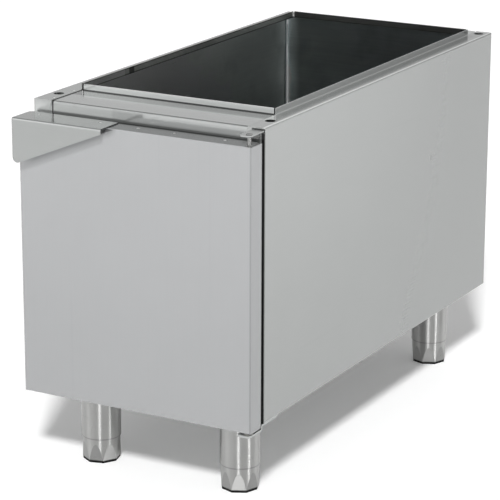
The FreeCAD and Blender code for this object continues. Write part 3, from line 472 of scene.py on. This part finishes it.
# Rubber of the foot pads, with a little floor dust low down.
rubber = {
    "colour": 0.004,
    "dust": 0.06,
    "dustWarmth": 0.08,
    "dustAmount": 0.3,
    "dustHeight": 0.0006,
    "dustScale": 160.0,
    "dustLevel": (0.5, 0.8),
    "grainScale": 2200.0,
    "grainBump": 0.5,
    "grainDepth": 0.00006,
    "roughness": 0.8,
    "grainRough": 0.15,
    "specular": 0.15,
}


def padRubber(name):
    material, wire = newMaterial(name)
    place = placeOf(wire)
    grain = noise(wire, place, rubber["grainScale"], 2.0)
    height = axesOf(wire, place)[2]
    spread = noise(wire, place, rubber["dustScale"], 3.0).rise(*rubber["dustLevel"])
    dust = (1 - height.rise(0.0, rubber["dustHeight"])) * spread
    colour = (rubber["dustAmount"] * dust).blend(
        grey(rubber["colour"]), grey(rubber["dust"], rubber["dustWarmth"])
    )
    bump = bumpOf(wire, grain, rubber["grainBump"], rubber["grainDepth"])
    level = rubber["roughness"] + rubber["grainRough"] * (grain - 0.5)
    values = {"Base Color": colour, "Roughness": level, "Normal": bump}
    closeMaterial(wire, {**values, "Specular IOR Level": rubber["specular"]})
    return material


# Moulded parts and ferrite: a fine grain and a slightly darker cloud.
moulding = {
    "grainScale": 3000.0,
    "grainBump": 0.4,
    "grainDepth": 0.00003,
    "grainRough": 0.12,
    "cloudScale": 120.0,
    "cloudTone": 0.82,
}


def mouldedPlastic(name, colour, roughness):
    material, wire = newMaterial(name)
    place = placeOf(wire)
    grain = noise(wire, place, moulding["grainScale"], 2.0)
    clouds = noise(wire, place, moulding["cloudScale"], 2.0)
    darker = tuple(value * moulding["cloudTone"] for value in colour[:3]) + (1,)
    bump = bumpOf(wire, grain, moulding["grainBump"], moulding["grainDepth"])
    level = roughness + moulding["grainRough"] * (grain - 0.5)
    closeMaterial(wire, {"Base Color": clouds.blend(colour, darker), "Roughness": level, "Normal": bump})
    return material


# Weld spots and beads: brighter, rippled metal with a straw-coloured heat tint.
weld = {
    "colour": 0.86,
    "straw": (0.78, 0.72, 0.62, 1),
    "strawAmount": 0.5,
    "strawScale": 260.0,
    "strawLevel": (0.45, 0.7),
    "rippleScale": 1400.0,
    "rippleBump": 0.4,
    "rippleDepth": 0.0001,
    "roughness": 0.3,
    "rippleRough": 0.2,
}


def weldMetal(name):
    material, wire = newMaterial(name)
    place = placeOf(wire)
    ripples = noise(wire, place, weld["rippleScale"], 2.0)
    tint = noise(wire, place, weld["strawScale"], 2.0).rise(*weld["strawLevel"])
    colour = (weld["strawAmount"] * tint).blend(grey(weld["colour"]), weld["straw"])
    bump = bumpOf(wire, ripples, weld["rippleBump"], weld["rippleDepth"])
    level = weld["roughness"] + weld["rippleRough"] * (ripples - 0.5)
    closeMaterial(wire, {"Base Color": colour, "Metallic": 1.0, "Roughness": level, "Normal": bump})
    return material


finishes = {
    "bodyLengthwise": steelSheet(
        "satinSteelLengthwise", "Y", paintInsideShade=True, paintedShading=paintedSideShade, patches=sidePaintedLight,
        insidePaintedLight=insidePaintedLight,
    ),
    "bodyCrosswise": steelSheet(
        "satinSteelCrosswise", "X", paintInsideShade=True, patches=railPaintedLight, insidePaintedLight=rearPaintedShade
    ),
    "back": steelSheet(
        "satinSteelBack", "X", paintInsideShade=True, insidePaintedLight=backPaintedLight, insideTint=backTint, streaky=0.4
    ),
    "door": steelSheet("satinSteelDoor", "Z", paintedShading=paintedDoorShade, patches=doorPaintedLight, tint=blueTint),
    "handle": steelSheet("satinSteelHandle", "X", patches=handlePaintedShade),
    "bracket": steelSheet("rolledPlate", "Y", tone=0.95, roughness=0.32),
    "tube": polishedSteel("polishedTube", patches=tubePaintedShade),
    "shell": polishedSteel("turnedShell", patches=shellPaintedShade, flats=frontFlatPaintedHighlight),
    "pin": polishedSteel("turnedPin", tone=0.75, roughness=0.25),
    "zinc": zincPlate("zincPlate"),
    "rubber": padRubber("padRubber"),
    "bush": mouldedPlastic("bushPlastic", (0.16, 0.16, 0.15, 1), 0.42),
    "case": mouldedPlastic("casePlastic", (0.02, 0.02, 0.021, 1), 0.5),
    "magnet": mouldedPlastic("ferrite", (0.045, 0.045, 0.05, 1), 0.38),
    "weld": weldMetal("weldMetal"),
}

# The finish of each node, by the start of its name; the first that fits counts.
nodeFinishes = [
    ("left_side_panel", "bodyLengthwise"),
    ("right_side_panel", "bodyLengthwise"),
    ("back_panel", "back"),
    ("bottom_shelf", "bodyLengthwise"),
    ("front_top_rail", "bodyCrosswise"),
    ("rear_top_rail", "bodyCrosswise"),
    ("front_leg_rail", "bracket"),
    ("rear_leg_rail", "bracket"),
    ("door_handle", "handle"),
    ("door_", "door"),
    ("leg_plate", "bracket"),
    ("leg_tube", "tube"),
    ("foot_shell", "shell"),
    ("foot_pad", "rubber"),
    ("foot_stem", "zinc"),
    ("stem_nut", "zinc"),
    ("leg_bolts", "zinc"),
    ("leg_weld_nuts", "zinc"),
    ("catch_screws", "zinc"),
    ("catch_magnet", "magnet"),
    ("magnet_case", "case"),
    ("upper_hinge_bush", "bush"),
    ("lower_hinge_bush", "bush"),
    ("upper_hinge_pin", "pin"),
    ("lower_hinge_pin", "pin"),
    ("hinge_rivets", "pin"),
    ("", "bracket"),
]
for name, item in cadNodes.items():
    finish = next(finish for start, finish in nodeFinishes if name.startswith(start))
    for slot in item.material_slots:
        slot.material = finishes[finish]
print("finishes given to", len(cadNodes), "nodes")


# Geometry Nodes: copies of one small form on given points, turned to each point's facing.
def formTree(name, inputs, build):
    tree = bpy.data.node_groups.new(name, "GeometryNodeTree")
    tree.interface.new_socket("Points", in_out="INPUT", socket_type="NodeSocketGeometry")
    for label, (kind, value) in inputs.items():
        made = tree.interface.new_socket(label, in_out="INPUT", socket_type=f"NodeSocket{kind}")
        if value is not None:
            made.default_value = value
    tree.interface.new_socket("Geometry", in_out="OUTPUT", socket_type="NodeSocketGeometry")
    start = tree.nodes.new("NodeGroupInput")
    wire = Wire(tree)
    given = {socket.name: Wire(tree, socket) for socket in start.outputs if socket.name}
    form = build(wire, given)
    settings = {"data_type": "FLOAT_VECTOR"}
    facing = wire.node("GeometryNodeInputNamedAttribute", settings, {"Name": "facing"})
    turn = wire.node("FunctionNodeAlignRotationToVector", {"axis": "Z"}, {"Vector": facing})
    spread = wire.node(
        "FunctionNodeRandomValue", {"data_type": "FLOAT"},
        {2: 1 - given["Spread"], 3: 1 + given["Spread"], "Seed": given["Seed"]}, 1,
    )
    values = {"Points": given["Points"], "Instance": form, "Rotation": turn, "Scale": spread}
    copies = wire.node("GeometryNodeInstanceOnPoints", {}, values)
    solid = wire.node("GeometryNodeRealizeInstances", {}, {"Geometry": copies})
    values = {"Geometry": solid, "Material": given["Finish"]}
    painted = wire.node("GeometryNodeSetMaterial", {}, values)
    smooth = wire.node("GeometryNodeSetShadeSmooth", {}, {"Geometry": painted})
    wire.node("NodeGroupOutput", {}, {"Geometry": smooth})
    return tree


def runTree(name, tree, points, values):
    mesh = bpy.data.meshes.new(name)
    mesh.from_pydata([place for place, facing in points], [], [])
    facings = mesh.attributes.new("facing", "FLOAT_VECTOR", "POINT")
    for item, (place, facing) in zip(facings.data, points):
        item.vector = facing
    carrier = bpy.data.objects.new(name + "Points", mesh)
    bpy.context.scene.collection.objects.link(carrier)
    modifier = carrier.modifiers.new("form", "NODES")
    modifier.node_group = tree
    for item in tree.interface.items_tree:
        if item.in_out == "INPUT" and item.name in values:
            modifier[item.identifier] = values[item.name]
    evaluated = carrier.evaluated_get(bpy.context.evaluated_depsgraph_get())
    result = bpy.data.meshes.new_from_object(evaluated)
    bpy.data.objects.remove(carrier)
    piece = bpy.data.objects.new(name, result)
    bpy.context.scene.collection.objects.link(piece)
    return piece


def scaledSphere(wire, radius, rise, segments, rings):
    values = {"Segments": segments, "Rings": rings, "Radius": 1.0}
    ball = wire.node("GeometryNodeMeshUVSphere", {}, values)
    size = wire.node("ShaderNodeCombineXYZ", {}, {"X": radius, "Y": radius, "Z": rise})
    return wire.node("GeometryNodeTransform", {}, {"Geometry": ball, "Scale": size})


def spotForm(wire, given):
    return scaledSphere(wire, given["Radius"], given["Rise"], 16, 8)


# a ring of overlapping beads round the point, like a weld run by hand
def ringForm(wire, given):
    values = {"Radius": given["Ring Radius"]}
    circle = wire.node("GeometryNodeCurvePrimitiveCircle", {"mode": "RADIUS"}, values)
    values = {"Curve": circle, "Count": given["Beads"]}
    points = wire.node("GeometryNodeCurveToPoints", {"mode": "COUNT"}, values)
    bead = scaledSphere(wire, given["Radius"], given["Rise"], 8, 5)
    values = {2: 0.88, 3: 1.12, "Seed": given["Seed"]}
    scale = wire.node("FunctionNodeRandomValue", {"data_type": "FLOAT"}, values, 1)
    values = {"Points": points, "Instance": bead, "Scale": scale}
    copies = wire.node("GeometryNodeInstanceOnPoints", {}, values)
    return wire.node("GeometryNodeRealizeInstances", {}, {"Geometry": copies})


common = {"Spread": ("Float", 0.0), "Seed": ("Int", 1), "Finish": ("Material", None)}
spotInputs = {"Radius": ("Float", 0.002), "Rise": ("Float", 0.0002)}
spotTree = formTree("spotForm", {**spotInputs, **common}, spotForm)
ringInputs = {
    "Ring Radius": ("Float", 0.03),
    "Beads": ("Int", 60),
    "Radius": ("Float", 0.002),
    "Rise": ("Float", 0.002),
}
ringTree = formTree("ringForm", {**ringInputs, **common}, ringForm)

upwards = (0, 0, 1)


def spotWelds(name, spots, points, body):
    values = {"Radius": spots["radius"], "Rise": spots["rise"], "Spread": spots["spread"]}
    values.update({"Seed": spots["seed"], "Finish": finishes["weld"]})
    piece = runTree(name, spotTree, [(point, upwards) for point in points], values)
    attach(piece, body)


doorSpots = {
    "top": 0.5683,
    "row": -0.3975,
    "places": (-0.002, 0.060, 0.145),
    "handleTop": 0.5697,
    "handleRow": -0.3995,
    "handlePlaces": (-0.176, -0.066),
    "radius": 0.0022,
    "rise": 0.00022,
    "spread": 0.15,
    "seed": 4,
}
doorPoints = [(x, doorSpots["row"], doorSpots["top"]) for x in doorSpots["places"]]
doorPoints += [(x, doorSpots["handleRow"], doorSpots["handleTop"]) for x in doorSpots["handlePlaces"]]
spotWelds("door_weld_spots", doorSpots, doorPoints, "door")

deckSpots = {
    "top": 0.588,
    "places": ((-0.1747, -0.3042), (-0.1739, -0.3599), (0.173, -0.303)),
    "radius": 0.0022,
    "rise": 0.00022,
    "spread": 0.15,
    "seed": 9,
}
deckPoints = [(x, y, deckSpots["top"]) for x, y in deckSpots["places"]]
spotWelds("deck_weld_spots", deckSpots, deckPoints, "cabinet")

legWelds = {"radius": 0.0315, "bead": 0.0019, "beads": 72, "level": 0.1316, "seed": 7}
legPoints = []
for corner in ("front_left", "front_right", "rear_left", "rear_right"):
    low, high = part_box(f"leg_tube_{corner}")
    middle = ((low[0] + high[0]) / 2, (low[1] + high[1]) / 2, legWelds["level"])
    legPoints.append((middle, upwards))
legBeads = runTree(
    "leg_weld_beads", ringTree, legPoints,
    {
        "Ring Radius": legWelds["radius"], "Beads": legWelds["beads"], "Radius": legWelds["bead"],
        "Rise": legWelds["bead"], "Seed": legWelds["seed"], "Finish": finishes["weld"],
    },
)
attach(legBeads, "cabinet")
print("welds made")

# Studio: a wide pale floor, a soft sun, white behind the cabinet and a plain grey surround.
# Metal sees a ring of light and dark cards instead, and two tall strips.
studio = {
    "surround": 0.34,
    "floor": 0.97,
    "floorGlow": 0.13,
    "floorSpan": 30.0,
    "sun": 3.0,
    "sunAngle": 7.0,
    "sunWay": (-0.47, 1.0, -1.0),
    "dome": [(0.0, 0.8), (0.06, 0.8), (0.15, 1.0), (0.5, 1.0), (0.6, 0.5), (0.8, 0.9), (1.0, 1.0)],
    # brightness round the horizon, by degrees from the cabinet's right side
    "cards": [
        (-180, 0.4), (-165, 0.6), (-150, 1.2), (-142, 2.3), (-130, 2.2), (-123, 1.0),
        (-112, 1.0), (-104, 1.0), (-97, 0.3), (-86, 0.3), (-80, 0.8), (-60, 0.8), (-54, 0.05),
        (-25, 0.05), (-18, 0.8), (-2, 0.8), (4, 0.02), (26, 0.02), (33, 2.1), (52, 2.0),
        (60, 0.4), (90, 0.35), (104, 0.68), (136, 0.6), (160, 0.4), (180, 0.4),
    ],
    "cardTops": (0.5, 0.85),
    # way from the cabinet, distance, width, height and strength
    "strips": [((0.3535, -0.9354), 6.0, 1.1, 3.2, 7.5), ((0.966, -0.26), 3.0, 0.3, 2.4, 12.0)],
}


def seenBy(wire, *rays):
    path = wire.node("ShaderNodeLightPath").socket.node.outputs
    mask = Wire(wire.tree, path[rays[0]])
    for ray in rays[1:]:
        mask = mask.larger(Wire(wire.tree, path[ray]))
    return mask


world = bpy.data.worlds.new("surround")
world.use_nodes = True
world.node_tree.nodes.clear()
wire = Wire(world.node_tree)
direction = wire.node("ShaderNodeTexCoord", {}, {}, "Generated")
east, north, climb = axesOf(wire, direction)
stops = [(place, grey(value)) for place, value in studio["dome"]]
dome = wire.node("ShaderNodeValToRGB", {"stops": stops}, {"Fac": climb})
bearing = 0.5 + north.maths("ARCTAN2", north, east) * (0.5 / math.pi)
stops = [(degrees / 360 + 0.5, grey(value)) for degrees, value in studio["cards"]]
cards = wire.node("ShaderNodeValToRGB", {"stops": stops}, {"Fac": bearing})
low = 1 - climb.rise(*studio["cardTops"])
settings = {"data_type": "RGBA", "blend_type": "MULTIPLY"}
carded = wire.node("ShaderNodeMix", settings, {0: 1.0, 6: dome, 7: cards}, 2)
dome = low.blend(dome, carded)
seen = seenBy(wire, "Is Glossy Ray", "Is Transmission Ray")
around = seen.blend(grey(studio["surround"]), dome)
backdrop = seenBy(wire, "Is Camera Ray").blend(around, grey(1.0))
sky = wire.node("ShaderNodeBackground", {}, {"Color": backdrop})
wire.node("ShaderNodeOutputWorld", {}, {"Surface": sky})
bpy.context.scene.world = world

floorMesh = bpy.data.meshes.new("floor")
span = studio["floorSpan"]
corners = [(-span, -span, 0), (span, -span, 0), (span, span, 0), (-span, span, 0)]
floorMesh.from_pydata(corners, [], [(0, 1, 2, 3)])
floor = bpy.data.objects.new("floor", floorMesh)
bpy.context.scene.collection.objects.link(floor)
material, wire = newMaterial("paleFloor")
glow = seenBy(wire, "Is Camera Ray", "Is Glossy Ray", "Is Transmission Ray")
glow = glow.blend(grey(0.0), grey(studio["floorGlow"]))
values = {"Base Color": grey(studio["floor"]), "Roughness": 0.95, "Specular IOR Level": 0.0}
closeMaterial(wire, {**values, "Emission Color": glow, "Emission Strength": 1.0})
floorMesh.materials.append(material)

sunData = bpy.data.lights.new("overhead", "SUN")
sunData.energy = studio["sun"]
sunData.angle = math.radians(studio["sunAngle"])
sun = bpy.data.objects.new("overhead", sunData)
sun.rotation_euler = Vector(studio["sunWay"]).to_track_quat("-Z", "Y").to_euler()
sun.visible_glossy = False
bpy.context.scene.collection.objects.link(sun)
for number, (way, away, width, height, strength) in enumerate(studio["strips"]):
    stripData = bpy.data.lights.new(f"strip{number}", "AREA")
    stripData.shape = "RECTANGLE"
    stripData.size = width
    stripData.size_y = height
    stripData.energy = strength * width * height * math.pi  # radiance to watts
    strip = bpy.data.objects.new(f"strip{number}", stripData)
    place = Vector((way[0] * away, way[1] * away, height / 2))
    aim = Vector((-way[0], -way[1], 0.0)).to_track_quat("-Z", "Y")
    strip.matrix_world = Matrix.Translation(place) @ aim.to_matrix().to_4x4()
    strip.visible_diffuse = False
    bpy.context.scene.collection.objects.link(strip)

view = {"place": (1.78287, -3.27704, 1.37924), "yaw": 29.0, "pitch": -16.42, "roll": 0.17, "lens": 170.0}
lens = bpy.data.cameras.new("camera")
lens.lens = view["lens"]
lens.sensor_width = 36
camera = bpy.data.objects.new("camera", lens)
turn = Matrix.Rotation(math.radians(view["yaw"]), 4, "Z")
turn = turn @ Matrix.Rotation(math.radians(90 + view["pitch"]), 4, "X")
turn = turn @ Matrix.Rotation(math.radians(view["roll"]), 4, "Z")
camera.matrix_world = Matrix.Translation(view["place"]) @ turn
bpy.context.scene.collection.objects.link(camera)
bpy.context.scene.camera = camera
bpy.context.scene.view_settings.view_transform = "Standard"
print("studio and camera set")
